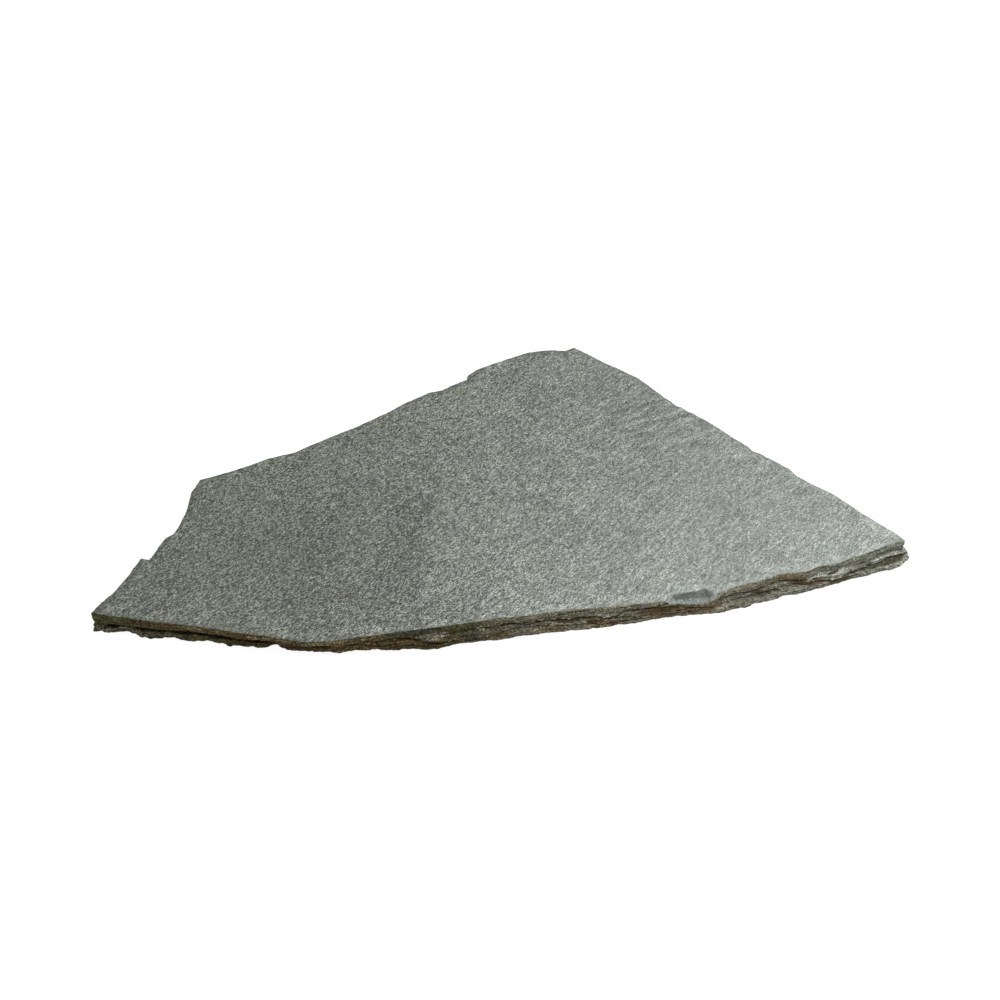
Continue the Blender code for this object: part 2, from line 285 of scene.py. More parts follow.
# lengths in millimetres: the size of each feature along the bed and across it, then how far it juts out.
# Layers, shifts and seeds only keep one pattern apart from the next.
edgeSetup = {
    "reach": 5.0,             # how far in from the rim the top face takes part
    "rimLevel": 24.0,
    "lipLevel": 23.4,         # all above this moves as one
    "calmLevels": (12.5, 15.5, 21.0),
    "calmShares": (1.0, 0.6, 0.3),    # the top bed is broken cleaner than the beds under it
    "wander": {"rise": 1.1, "size": 45.0, "layer": 1.0},
    "lamina": {"height": 2.4, "width": 24.0, "jut": 0.3, "layer": 10.0, "layerStep": 1.37},
    "blocks": {"size": (13.0, 13.0, 5.0), "jut": 1.2, "lean": 0.6, "shift": 0.0},
    "splinters": {"size": (4.2, 4.2, 2.2), "jut": 0.6, "lean": 0.35, "shift": 50.0},
    "grit": {"size": 1.6, "jut": 0.2, "layer": 3.0},
    "rimChips": {"size": 7.5, "jut": 0.9, "height": 3.2, "backFrom": 0.45, "seed": 7.7},
    "splits": {"height": 2.7, "half": 0.45, "depth": 0.9, "width": 16.0, "gain": 2.5,
               "layer": 30.0, "layerStep": 2.3},
    # scallops along the bottom, large and small, with the share of them that is left right of the span
    "foot": {"size": 14.0, "height": 6.5, "rise": 3.4, "back": 2.6, "right": 0.2},
    "nibbles": {"size": 5.0, "height": 3.5, "rise": 1.0, "back": 0.8, "right": 0.7},
    "scallops": {"span": (-130.0, -60.0), "riseFrom": 0.35, "backFrom": 0.3, "seed": 3.3},
    "crackFade": 6.0,
}

# open cracks in the front of the slab: points along each as (x, height), its depth and half its height
frontCracks = [
    {"depth": 1.8, "half": 1.1,
     "line": [(128.0, 16.6), (136.0, 17.0), (142.0, 19.4), (148.0, 20.2), (156.0, 20.4)]},
    {"depth": 1.6, "half": 0.9, "line": [(98.0, 11.4), (112.0, 10.6)]},
    {"depth": 1.4, "half": 0.9, "line": [(92.0, 5.2), (106.0, 5.8), (122.0, 5.9)]},
    {"depth": 1.2, "half": 0.9, "line": [(-62.0, 5.6), (-54.0, 4.6), (-46.0, 4.8)]},
    {"depth": 1.2, "half": 1.0, "line": [(-150.0, 18.4), (-140.0, 17.4), (-134.0, 16.8)]},
    {"depth": 1.8, "half": 1.2,
     "line": [(-150.0, 12.6), (-138.0, 13.2), (-131.0, 11.5), (-121.0, 9.6), (-108.0, 9.4)]},
    {"depth": 1.6, "half": 1.2,
     "line": [(-110.0, 13.2), (-94.0, 12.6), (-84.0, 8.8), (-75.0, 5.4), (-66.0, 4.8)]},
    {"depth": 1.0, "half": 1.0,
     "line": [(-6.0, 14.6), (8.0, 12.2), (20.0, 11.8), (34.0, 13.8), (44.0, 11.4), (62.0, 10.4)]},
    {"depth": 1.0, "half": 1.0, "line": [(200.0, 16.4), (212.0, 16.8), (226.0, 14.4), (240.0, 14.6)]},
    {"depth": 1.4, "half": 0.9, "line": [(158.0, 10.6), (168.0, 11.4), (182.0, 10.4), (190.0, 8.4)]},
    {"depth": 2.4, "half": 1.4,
     "line": [(327.0, 9.0), (340.0, 9.4), (352.0, 9.2), (364.0, 9.2), (386.0, 9.0)]},
]

# stains, bare patches and painted shade on the front: tone, middle as (x, height), half lengths and
# strength. The dark brown tone is partly grime and partly painted shade in the bands under the beds, and
# the shade tone is painted shade
frontStains = [
    {"tone": "pale", "at": (-383.0, 6.5), "half": (12.0, 4.0), "strength": 0.6},
    {"tone": "pale", "at": (-345.0, 7.0), "half": (34.0, 5.0), "strength": 0.42},
    {"tone": "brown", "at": (-335.0, 19.6), "half": (34.0, 4.0), "strength": 0.8},
    {"tone": "gold", "at": (-291.0, 21.0), "half": (26.0, 3.0), "strength": 0.5},
    {"tone": "pale", "at": (-286.0, 15.5), "half": (22.0, 2.6), "strength": 0.4},
    {"tone": "brown", "at": (-245.0, 9.0), "half": (30.0, 5.0), "strength": 0.6},
    {"tone": "brown", "at": (-240.0, 19.6), "half": (56.0, 4.0), "strength": 0.9},
    {"tone": "gold", "at": (-232.0, 20.6), "half": (16.0, 2.6), "strength": 0.6},
    {"tone": "pale", "at": (-230.0, 14.0), "half": (14.0, 3.0), "strength": 0.7},
    {"tone": "gold", "at": (-206.0, 21.5), "half": (16.0, 2.6), "strength": 0.45},
    {"tone": "dirt", "at": (-186.0, 11.4), "half": (42.0, 3.2), "strength": 0.95},
    {"tone": "gold", "at": (-174.0, 19.4), "half": (30.0, 3.4), "strength": 0.7},
    {"tone": "gold", "at": (-150.0, 15.5), "half": (26.0, 3.0), "strength": 0.6},
    {"tone": "brown", "at": (-141.0, 16.0), "half": (22.0, 5.0), "strength": 1.0},
    {"tone": "gold", "at": (-136.0, 20.0), "half": (12.0, 2.4), "strength": 0.35},
    {"tone": "pale", "at": (-119.0, 17.5), "half": (9.0, 3.0), "strength": 0.35},
    {"tone": "brown", "at": (-108.0, 7.4), "half": (30.0, 5.0), "strength": 0.6},
    {"tone": "shade", "at": (-86.0, 20.6), "half": (22.0, 3.6), "strength": 1.0},
    {"tone": "pale", "at": (-74.0, 13.8), "half": (18.0, 4.4), "strength": 0.68},
    {"tone": "dirt", "at": (-62.0, 3.4), "half": (26.0, 2.6), "strength": 0.3},
    {"tone": "shade", "at": (-38.0, 12.0), "half": (10.0, 3.0), "strength": 0.9},
    {"tone": "pale", "at": (-24.0, 15.2), "half": (12.0, 2.4), "strength": 0.75},
    {"tone": "brown", "at": (-20.0, 6.0), "half": (26.0, 5.0), "strength": 0.35},
    {"tone": "dirt", "at": (-6.0, 9.0), "half": (15.0, 7.0), "strength": 0.45},
    {"tone": "brown", "at": (30.0, 5.0), "half": (30.0, 5.0), "strength": 0.5},
    {"tone": "pale", "at": (30.0, 20.4), "half": (26.0, 3.0), "strength": 0.2},
    {"tone": "brown", "at": (58.0, 22.0), "half": (8.0, 2.0), "strength": 0.8},
    {"tone": "pale", "at": (69.0, 20.6), "half": (11.0, 2.4), "strength": 0.4},
    {"tone": "dirt", "at": (78.0, 10.0), "half": (14.0, 3.0), "strength": 0.6},
    {"tone": "pale", "at": (88.0, 13.0), "half": (9.0, 2.3), "strength": 1.0},
    {"tone": "brown", "at": (90.0, 5.0), "half": (18.0, 4.4), "strength": 0.85},
    {"tone": "pale", "at": (119.0, 20.8), "half": (14.0, 2.4), "strength": 0.4},
    {"tone": "dirt", "at": (138.0, 14.4), "half": (24.0, 3.4), "strength": 0.7},
    {"tone": "brown", "at": (144.0, 11.0), "half": (20.0, 9.0), "strength": 0.9},
    {"tone": "dirt", "at": (172.0, 12.8), "half": (18.0, 1.6), "strength": 0.25},
    {"tone": "brown", "at": (177.0, 10.0), "half": (26.0, 6.5), "strength": 1.2},
    {"tone": "pale", "at": (202.0, 8.0), "half": (8.0, 3.0), "strength": 0.6},
    {"tone": "shade", "at": (238.0, 11.0), "half": (14.0, 2.5), "strength": 0.6},
    {"tone": "pale", "at": (250.0, 4.5), "half": (20.0, 4.0), "strength": 0.8},
    {"tone": "brown", "at": (270.0, 19.4), "half": (20.0, 4.0), "strength": 0.9},
    {"tone": "dirt", "at": (286.0, 12.6), "half": (18.0, 2.4), "strength": 0.9},
    {"tone": "dirt", "at": (299.0, 9.4), "half": (13.0, 2.2), "strength": 0.55},
    {"tone": "pale", "at": (304.0, 14.4), "half": (22.0, 1.9), "strength": 1.0},
    {"tone": "brown", "at": (311.0, 6.0), "half": (16.0, 4.0), "strength": 0.55},
    {"tone": "dirt", "at": (319.0, 5.0), "half": (16.0, 3.4), "strength": 0.65},
    {"tone": "shade", "at": (338.0, 11.6), "half": (20.0, 3.0), "strength": 0.5},
    {"tone": "pale", "at": (389.0, 7.5), "half": (9.0, 4.5), "strength": 0.45},
]


def copyOfNode(node, name):
    mesh = node.data.copy()
    mesh.name = name
    piece = bpy.data.objects.new(name, mesh)
    bpy.context.scene.collection.objects.link(piece)
    mesh.materials.clear()
    bpy.ops.object.select_all(action="DESELECT")
    piece.select_set(True)
    bpy.context.view_layer.objects.active = piece
    return piece


def selectFaces(piece, wanted):
    bpy.ops.object.mode_set(mode="EDIT")
    bpy.ops.mesh.select_mode(type="FACE")
    bpy.ops.mesh.select_all(action="DESELECT")
    bpy.ops.object.mode_set(mode="OBJECT")
    for face in piece.data.polygons:
        face.select = wanted(face.center, face.normal)
    bpy.ops.object.mode_set(mode="EDIT")


def isTop(centre, normal):
    return normal.z > slabSetup["topTilt"] and centre.z > slabSetup["topLevel"]


def isUnder(centre, normal):
    return normal.z < slabSetup["underTilt"] and centre.z < slabSetup["underLevel"]


def isBroken(centre, normal):
    return not isTop(centre, normal) and not isUnder(centre, normal)


def groupSelected(piece, name):
    bpy.ops.object.vertex_group_add()
    piece.vertex_groups.active.name = name
    bpy.ops.object.vertex_group_assign()


# the rim of the top face, as a closed ring of points in the order they are met
def rimRing(piece):
    shape = bmesh.new()
    shape.from_mesh(piece.data)
    follow = {}
    for edge in shape.edges:
        tops = [isTop(face.calc_center_median(), face.normal) for face in edge.link_faces]
        if len(tops) == 2 and tops[0] != tops[1]:
            first, second = edge.verts
            follow.setdefault(first.index, []).append(second.index)
            follow.setdefault(second.index, []).append(first.index)
    shape.verts.ensure_lookup_table()
    loops = []
    left = set(follow)
    while left:
        current = min(left)
        loop = []
        while current is not None:
            loop.append(current)
            left.discard(current)
            nexts = [other for other in follow[current] if other in left]
            current = nexts[0] if nexts else None
        loops.append(loop)
    loop = max(loops, key=len)
    ring = np.array([shape.verts[i].co[:2] for i in loop])
    shape.free()
    following = np.roll(ring, -1, axis=0)
    area = np.sum(ring[:, 0] * following[:, 1] - ring[:, 1] * following[:, 0])
    return ring if area > 0 else ring[::-1]


def outwardOfRing(ring, reach=3):
    along = sum(np.roll(ring, -k, axis=0) - np.roll(ring, k, axis=0) for k in range(1, reach + 1))
    outward = np.column_stack([along[:, 1], -along[:, 0]])
    return outward / np.linalg.norm(outward, axis=1, keepdims=True)


# for each place: how far outside the rim it is (negative inside), and the way out of the slab there.
# The places are worked through in batches, to spare memory.
def rimDistance(places, ring, batches=60):
    runs = np.roll(ring, -1, axis=0) - ring
    squares = np.sum(runs * runs, axis=1)
    outward = outwardOfRing(ring)
    following = np.roll(outward, -1, axis=0)
    gaps = []
    ways = []
    for part in np.array_split(places, batches):
        offset = part[:, None, :] - ring[None, :, :]
        share = np.clip(np.sum(offset * runs[None], axis=2) / squares[None], 0.0, 1.0)
        gap = offset - share[:, :, None] * runs[None]
        distance = np.sqrt(np.sum(gap * gap, axis=2))
        best = np.argmin(distance, axis=1)
        rows = np.arange(len(part))
        t = share[rows, best][:, None]
        way = outward[best] * (1.0 - t) + following[best] * t
        way /= np.linalg.norm(way, axis=1, keepdims=True)
        near = gap[rows, best]
        cross = runs[best, 0] * offset[rows, best, 1] - runs[best, 1] * offset[rows, best, 0]
        gaps.append(np.linalg.norm(near, axis=1) * np.where(cross < 0.0, 1.0, -1.0))
        ways.append(way)
    return np.concatenate(gaps), np.concatenate(ways)


def smoothShare(value):
    share = np.clip(value, 0.0, 1.0)
    return share * share * (3.0 - 2.0 * share)


# 0 up to start and 1 from one run further on, smooth between; a run below 0 goes the other way
def grown(value, start, run):
    return smoothShare((value - start) / run)


# smooth noise from about -1 to 1; each layer is a pattern of its own
def cloud(x, y, z, layer, gain=1.7, layerGap=9.3):
    return gain * noise.noise(Vector((x, y, z + layerGap * layer)))


# flat facets with crisp steps between them, from about -0.5 to 0.5, each leaning its own way
def facet(x, y, z, lean, scatter=17.0):
    spot = Vector((x, y, z))
    centre = noise.voronoi(spot)[1][0]
    random = noise.cell_vector(centre * scatter)
    tilt = Vector((random.y - 0.5, random.z - 0.5, random.x - 0.5))
    return random.x - 0.5 + lean * 2.0 * tilt.dot(spot - centre)


# distance to the middle of the nearest cell, from 0 to about 1, for scallops and chips
def cell(x, y, size, seed):
    return noise.voronoi(Vector((x / size, y / size, seed)))[0][0]


def vertexPlaces(mesh):
    places = np.empty(len(mesh.vertices) * 3)
    mesh.vertices.foreach_get("co", places)
    return places.reshape(-1, 3)


def vertexNormals(mesh):
    normals = np.empty(len(mesh.vertices) * 3)
    mesh.vertex_normals.foreach_get("vector", normals)
    return normals.reshape(-1, 3)


def inGroup(piece, name):
    index = piece.vertex_groups[name].index
    mesh = piece.data
    return np.array([any(g.group == index and g.weight > 0.5 for g in v.groups) for v in mesh.vertices])


def addField(mesh, name, values):
    field = mesh.attributes.new(name, "FLOAT", "POINT")
    field.data.foreach_set("value", np.asarray(values, dtype=np.float32))


# 1 on the line of the crack and 0 from one half height above and below it, fading out past its ends
def crackShare(x, z, crack, fade):
    line = np.array(crack["line"])
    level = np.interp(x, line[:, 0], line[:, 1])
    past = np.maximum(line[0, 0] - x, x - line[-1, 0]) / fade
    return np.clip(1.0 - np.abs(z - level) / crack["half"], 0.0, 1.0) * smoothShare(1.0 - past)


# how far a point of the edge juts out, from its lamina, its broken facets and its grit
def jutAt(x, y, z, level, setup):
    lamina = setup["lamina"]
    layer = lamina["layer"] + lamina["layerStep"] * math.floor(level / lamina["height"])
    jut = lamina["jut"] * cloud(x / lamina["width"], y / lamina["width"], 0.0, layer)
    for breaks in (setup["blocks"], setup["splinters"]):
        sx, sy, sz = breaks["size"]
        jut += breaks["jut"] * facet(x / sx, y / sy, level / sz + breaks["shift"], breaks["lean"])
    grit = setup["grit"]
    size = grit["size"]
    calm = float(np.interp(z, setup["calmLevels"], setup["calmShares"]))
    return calm * jut + grit["jut"] * cloud(x / size, y / size, z / size, grit["layer"])


# how deep the chips along the rim go
def rimChipAt(x, y, z, setup):
    chips = setup["rimChips"]
    if z <= setup["rimLevel"] - chips["height"]:
        return 0.0
    near = cell(x, y, chips["size"], chips["seed"])
    deep = chips["jut"] * max(0.0, near - chips["backFrom"])
    return deep * (z - setup["rimLevel"] + chips["height"]) / chips["height"]


# how far the seam between two laminae stands open, from 0 to 1
def splitAt(x, y, level, splits):
    seam = round(level / splits["height"])
    off = abs(level - seam * splits["height"]) / splits["half"]
    if off >= 1.0:
        return 0.0
    layer = splits["layer"] + splits["layerStep"] * seam
    parted = cloud(x / splits["width"], y / splits["width"], 0.0, layer)
    return (1.0 - off) * min(1.0, max(0.0, splits["gain"] * parted))


def roughenEdge(piece, ring, setup):
    places = vertexPlaces(piece.data)
    gap, way = rimDistance(places[:, :2], ring)
    broken = inGroup(piece, "broken")
    riven = inGroup(piece, "riven")
    share = np.where(broken, 1.0, smoothShare(1.0 + gap / mm / setup["reach"]))
    out = np.zeros(len(places))
    rise = np.zeros(len(places))
    split = np.zeros(len(places))
    wander = setup["wander"]
    scallops = setup["scallops"]
    for i in np.nonzero(share > 0.0)[0]:
        x, y, z = places[i] / mm
        z = setup["lipLevel"] if riven[i] else min(z, setup["lipLevel"])
        level = z + wander["rise"] * cloud(x / wander["size"], y / wander["size"], 0.0, wander["layer"])
        out[i] = jutAt(x, y, z, level, setup) - rimChipAt(x, y, z, setup)
        if not riven[i]:
            split[i] = splitAt(x, y, level, setup["splits"])
            out[i] -= setup["splits"]["depth"] * split[i]
        for scallop in (setup["foot"], setup["nibbles"]):
            if z < scallop["height"]:
                low = 1.0 - z / scallop["height"]
                low *= float(np.interp(x, scallops["span"], (1.0, scallop["right"])))
                near = cell(x, y, scallop["size"], scallops["seed"])
                rise[i] += scallop["rise"] * max(0.0, near - scallops["riseFrom"]) * low
                out[i] -= scallop["back"] * (near - scallops["backFrom"]) * low
    front = broken & ~riven & (way[:, 1] < 0.0)
    for crack in frontCracks:
        near = crackShare(places[:, 0] / mm, places[:, 2] / mm, crack, setup["crackFade"]) * front
        out -= crack["depth"] * near
        split = np.maximum(split, near)
    places[:, :2] += way * (share * out)[:, None] * mm
    places[:, 2] += np.where(broken, rise, 0.0) * mm
    piece.data.vertices.foreach_set("co", places.ravel())
    piece.data.update()
    addField(piece.data, "split", split)


# the sides keep a hair inside the box, and the top and bottom may touch it
def keepInside(piece, box, inset):
    low, high = box
    for vert in piece.data.vertices:
        for axis, spare in enumerate((inset, inset, 0.0)):
            vert.co[axis] = min(max(vert.co[axis], low[axis] + spare), high[axis] - spare)
    piece.data.update()


def applyModifier(kind, name, settings):
    modifier = bpy.context.object.modifiers.new(name, kind)
    for key, value in settings.items():
        setattr(modifier, key, value)
    bpy.ops.object.modifier_apply(modifier=name)


def makeSlab(setup):
    piece = copyOfNode(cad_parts["slate_slab"], setup["name"])
    bpy.ops.object.mode_set(mode="EDIT")
    bpy.ops.mesh.select_all(action="SELECT")
    bpy.ops.mesh.remove_doubles(threshold=setup["mergeGap"])
    bpy.ops.object.mode_set(mode="OBJECT")
    ring = rimRing(piece)
    print("rim points", len(ring))
    for name, wanted in (("riven", isTop), ("under", isUnder), ("broken", isBroken)):
        selectFaces(piece, wanted)
        groupSelected(piece, name)
    # the broken faces are still selected here
    quadAngle = setup["quadAngle"]
    bpy.ops.mesh.tris_convert_to_quads(face_threshold=quadAngle, shape_threshold=quadAngle)
    bpy.ops.mesh.select_all(action="SELECT")
    bpy.ops.mesh.subdivide(number_cuts=setup["cuts"], quadcorner="INNERVERT")
    bpy.ops.object.mode_set(mode="OBJECT")
    print("faces after subdividing", len(piece.data.polygons))
    roughenEdge(piece, ring, edgeSetup)
    applyModifier("TRIANGULATE", "triangles", {})
    share = setup["triangles"] / len(piece.data.polygons)
    if share < 1.0:
        applyModifier("DECIMATE", "lighten", {"ratio": share})
    keepInside(piece, cadBox, setup["inset"])
    bpy.ops.object.shade_smooth_by_angle(angle=setup["smoothAngle"])
    print("triangles at the end", len(piece.data.polygons))
    return piece, ring


# how far each point lies under the surface smoothed over its neighbours, in millimetres: above 0 in a dip
def dips(mesh, rounds):
    places = vertexPlaces(mesh)
    ends = np.empty(len(mesh.edges) * 2, dtype=int)
    mesh.edges.foreach_get("vertices", ends)
    first, second = ends.reshape(-1, 2).T
    count = len(places)
    near = np.bincount(first, minlength=count) + np.bincount(second, minlength=count)
    smooth = places.copy()
    for _ in range(rounds):
        for axis in range(3):
            total = np.bincount(first, smooth[second, axis], count)
            total += np.bincount(second, smooth[first, axis], count)
            smooth[:, axis] = 0.5 * smooth[:, axis] + 0.5 * total / near
    return np.sum((smooth - places) * vertexNormals(mesh), axis=1) / mm


# where each mark of the surface begins and ends: lengths in millimetres, tilts as the z of the normal.
# A pair is where a mark starts to show and how much further on it is whole, below 0 to go the other way.
markSetup = {
    "fineRounds": 3,
    "deepRounds": 24,
    "ledgeTilt": (0.4, 0.35),
    "ledgeBelow": 18.5,
    "treadSpan": (278.0, 20.0),
    "treadFoot": 9.0,
    "treadRise": 1.5,
    "treadDropSpan": (352.0, 12.0),
    "treadDrop": 2.2,
    "overhangTilt": (-0.25, -0.4),
    "overhangAbove": 6.0,
    "recessDepth": (8.6, 2.4),
    "recessBelow": 17.0,
    "recessEnd": 270.0,
    "stainReach": (1.5, -1.0),        # in half lengths of the stain
    "scarLeft": (149.0, 8.0),
    "scarRight": (190.0, -4.0),
    "scarBrink": (24.1, -0.6),
    "scarFoot": 19.9,
    "scarFootFrom": 148.0,
    "scarFootFall": 0.045,
    "scarFootRise": 0.8,
    "scarFaint": 0.3,                 # what is left of the scar's tone under its foot
    "scarTilt": 0.2,
}


# fields that the stone's colours follow: the dips and inward in millimetres, the rest as shares
def markSurface(piece, ring, setup):
    mesh = piece.data
    places = vertexPlaces(mesh)
    x, y, z = (places / mm).T
    gap, way = rimDistance(places[:, :2], ring)
    up = vertexNormals(mesh)[:, 2]
    broken = inGroup(piece, "broken") & ~inGroup(piece, "riven")
    front = broken & (way[:, 1] < 0.0)
    addField(mesh, "brokenShare", broken)
    addField(mesh, "underShare", inGroup(piece, "under") & ~broken)
    addField(mesh, "fineDip", dips(mesh, setup["fineRounds"]))
    addField(mesh, "deepDip", dips(mesh, setup["deepRounds"]))
    addField(mesh, "inward", np.abs(gap) / mm * ~broken)
    # upward faces of the broken edge: the ledges are painted darker, as shade under the beds above them,
    # and near the right end the treads are painted pale, as if lit from above
    ledge = grown(up, *setup["ledgeTilt"]) * broken * (z < setup["ledgeBelow"])
    treadFoot = setup["treadFoot"] - grown(x, *setup["treadDropSpan"]) * setup["treadDrop"]
    tread = ledge * grown(x, *setup["treadSpan"]) * grown(z, treadFoot, setup["treadRise"])
    addField(mesh, "tread", tread)
    addField(mesh, "ledge", ledge - tread)
    # painted shade: the undersides of overhangs, and the edge deep in under the rim, are darkened in the
    # colours
    overhang = grown(up, *setup["overhangTilt"]) * broken * (z > setup["overhangAbove"])
    recess = grown(-gap / mm, *setup["recessDepth"]) * broken
    recess = recess * (z < setup["recessBelow"]) * (x < setup["recessEnd"])
    addField(mesh, "recess", np.maximum(recess, overhang))
    for tone in sorted({stain["tone"] for stain in frontStains}):
        share = np.zeros(len(places))
        for stain in frontStains:
            if stain["tone"] != tone:
                continue
            atX, atZ = stain["at"]
            halfX, halfZ = stain["half"]
            far = np.hypot((x - atX) / halfX, (z - atZ) / halfZ)
            share = np.maximum(share, stain["strength"] * grown(far, *setup["stainReach"]) * front)
        addField(mesh, tone + "Stain", share)
    # the slanting scar of a chip at the front of the top face
    alongScar = grown(x, *setup["scarLeft"]) * grown(x, *setup["scarRight"]) * (y < 0.0)
    scarFoot = setup["scarFoot"] - (x - setup["scarFootFrom"]) * setup["scarFootFall"]
    faint = setup["scarFaint"]
    sunken = faint + (1.0 - faint) * grown(z, scarFoot, setup["scarFootRise"])
    sunken = grown(z, *setup["scarBrink"]) * sunken * (up > setup["scarTilt"])
    addField(mesh, "scar", alongScar * sunken * ~broken)


# colours of the stone. The split face goes from the left colour to the right one: partly the stone's own
# tone and partly painted light, lighter towards the right
stoneColors = {
    "left": (0.0720, 0.0775, 0.0665, 1.0),
    "right": (0.1045, 0.1118, 0.1040, 1.0),
    "warm": (1.008, 1.0, 0.985, 1.0),
    "cool": (0.990, 1.0, 1.008, 1.0),
    "under": (0.96, 0.93, 0.86, 1.0),
    "scar": (0.041, 0.046, 0.041, 1.0),
    # the broken edge: its own browner tone, and partly painted shade, the upright faces darker than the top
    # as if the light fell from above and behind
    "edgeOlive": (0.032, 0.0295, 0.0125, 1.0),
    "edgeGrey": (0.0735, 0.0700, 0.0500, 1.0),
    "edgeRight": (0.080, 0.083, 0.065, 1.0),
    "brownLeft": (0.038, 0.0235, 0.0085, 1.0),
    "brownRight": (0.078, 0.061, 0.038, 1.0),
    "gold": (0.092, 0.075, 0.042, 1.0),
    # partly grime and partly painted shade
    "dirt": (0.025, 0.0160, 0.0055, 1.0),
    "shade": (0.020, 0.0190, 0.0128, 1.0),
    "paleLeft": (0.086, 0.079, 0.060, 1.0),
    "paleRight": (0.125, 0.115, 0.095, 1.0),
    # painted light: the pale of the upward treads, as if lit from above
    "tread": (0.108, 0.110, 0.094, 1.0),
    # crevices: grime and painted shade
    "creviceLeft": (0.0165, 0.0098, 0.0014, 1.0),
    "creviceRight": (0.020, 0.0195, 0.0125, 1.0),
}

# how the grain lies on the split face, and where its pattern starts
grainTurn = math.radians(-52.0)
grainShift = (0.0, 0.0, 0.0035)

# noise patterns of the stone: the size of one unit along each axis in metres
stonePatterns = {
    "grain": {"size": (0.0025, 0.00080, 0.020), "turn": grainTurn, "shift": grainShift, "roughness": 0.7},
    "streaks": {"size": (0.022, 0.0036, 0.020), "turn": grainTurn, "shift": (0.3, 0.1, 0.2), "detail": 3.0},
    "mottle": {"size": (0.045, 0.03, 0.03), "turn": grainTurn, "detail": 3.0},
    "tint": {"size": (0.028, 0.028, 0.028), "shift": (0.7, 0.1, 0.0)},
    "wander": {"size": (0.05, 0.05, 0.02), "detail": 3.0},
    "bedding": {"size": (0.03, 0.03, 0.0012), "detail": 3.0},
    "patches": {"size": (0.022, 0.022, 0.006), "shift": (0.5, 0.2, 0.0), "detail": 3.0},
    "edgeGrain": {"size": (0.0018, 0.0018, 0.0013), "roughness": 0.7},
    "blotch": {"size": (0.0042, 0.0042, 0.0026), "shift": (0.1, 0.4, 0.0)},
}

# single crystals in the grain
crystalPattern = {"size": (0.0022, 0.00085, 0.020), "turn": grainTurn, "shift": grainShift}

# the split face: a span is where a change starts and ends, and gains count in doublings of the tone
rivenSetup = {
    "toneSpan": (-0.26, 0.33),
    "tintSpan": (0.35, 0.65),
    "rimFade": (0.0, 9.0),            # millimetres in from the rim
    "rimContrast": (0.65, 0.35),      # at the rim, and what is added inside
    "rimGain": 0.02,
    "contrastSpan": (-0.12, 0.22),
    "contrastLeft": 1.50,
    "contrastDrop": 0.68,
    "depthSpan": (-0.15, 0.05),
    "depthContrast": (0.90, 0.10),    # at the front, and what is added behind
    "grainGain": 7.8,
    "crystalGain": 1.5,
    "streakGain": 1.5,
    "mottleGain": 0.5,
    "skewLeft": 0.07,                 # above 0 the pale grains stand out, below 0 the dark ones
    "skewDrop": 0.14,
    "brightest": 3.2,
    "wornSpan": (0.35, 1.3),
    "wornGain": 0.18,
}

# ripples left on the split face: where they are, how far they spread and how they are turned
rippleMarks = {
    "at": (0.150, 0.095, 0.024), "spread": (0.085, 0.075, 0.5), "turn": math.radians(34.0),
    "size": (0.034, 0.0058, 0.02), "shift": (0.2, 0.6, 0.0), "span": (0.35, 0.65), "strength": 0.55,
}

# a faint step in tone across the split face, painted shade of a fold where the face to its left tilts away
# from the light: the x it lies at, its width, the y it runs between, how it fades at its ends, and where to
# each side it starts to fade and is gone
foldShadeMark = {
    "at": -0.084, "wander": 0.012, "width": 0.02, "low": -0.19, "high": -0.03, "fade": 0.02,
    "reach": (0.02, 0.05), "strength": 0.14,
}

# marks on the split face, wide ones first: where each is, its half lengths, how it is turned and its gain.
# The wide ones are partly the stone's own tone and partly painted light and shade that go with the
# left-to-right tone
splitMarks = [
    {"at": (-0.150, -0.110), "size": (0.065, 0.190), "turn": 0.0, "gain": -0.17},
    {"at": (-0.210, -0.125), "size": (0.055, 0.110), "turn": 0.0, "gain": -0.18},
    {"at": (-0.278, -0.215), "size": (0.050, 0.030), "turn": 0.0, "gain": 0.12},
    {"at": (-0.092, -0.090), "size": (0.045, 0.190), "turn": 0.0, "gain": -0.20},
    {"at": (0.035, -0.175), "size": (0.085, 0.095), "turn": 0.0, "gain": 0.15},
    {"at": (0.155, -0.145), "size": (0.060, 0.070), "turn": 0.0, "gain": 0.13},
    {"at": (0.325, -0.100), "size": (0.065, 0.035), "turn": 30.0, "gain": 0.12},
    {"at": (0.075, 0.220), "size": (0.070, 0.035), "turn": 0.0, "gain": 0.10},
    {"at": (-0.243, -0.034), "size": (0.011, 0.005), "turn": 45.0, "gain": 0.75},
    {"at": (-0.282, -0.074), "size": (0.003, 0.003), "turn": 0.0, "gain": 0.9},
    {"at": (-0.180, -0.045), "size": (0.004, 0.003), "turn": 40.0, "gain": 0.7},
    {"at": (-0.192, -0.077), "size": (0.006, 0.003), "turn": 50.0, "gain": 0.5},
    {"at": (-0.131, -0.058), "size": (0.026, 0.009), "turn": 52.0, "gain": 0.25},
    {"at": (-0.077, -0.190), "size": (0.016, 0.008), "turn": 45.0, "gain": 0.3},
    {"at": (0.240, 0.043), "size": (0.012, 0.006), "turn": 30.0, "gain": 0.55},
    {"at": (0.184, -0.164), "size": (0.0045, 0.004), "turn": 0.0, "gain": -0.7},
    {"at": (0.223, -0.158), "size": (0.003, 0.003), "turn": 0.0, "gain": -0.8},
    {"at": (0.255, 0.030), "size": (0.004, 0.003), "turn": 20.0, "gain": -0.7},
]
markLevel = 0.024
markDepth = 0.05          # how far up and down each mark reaches

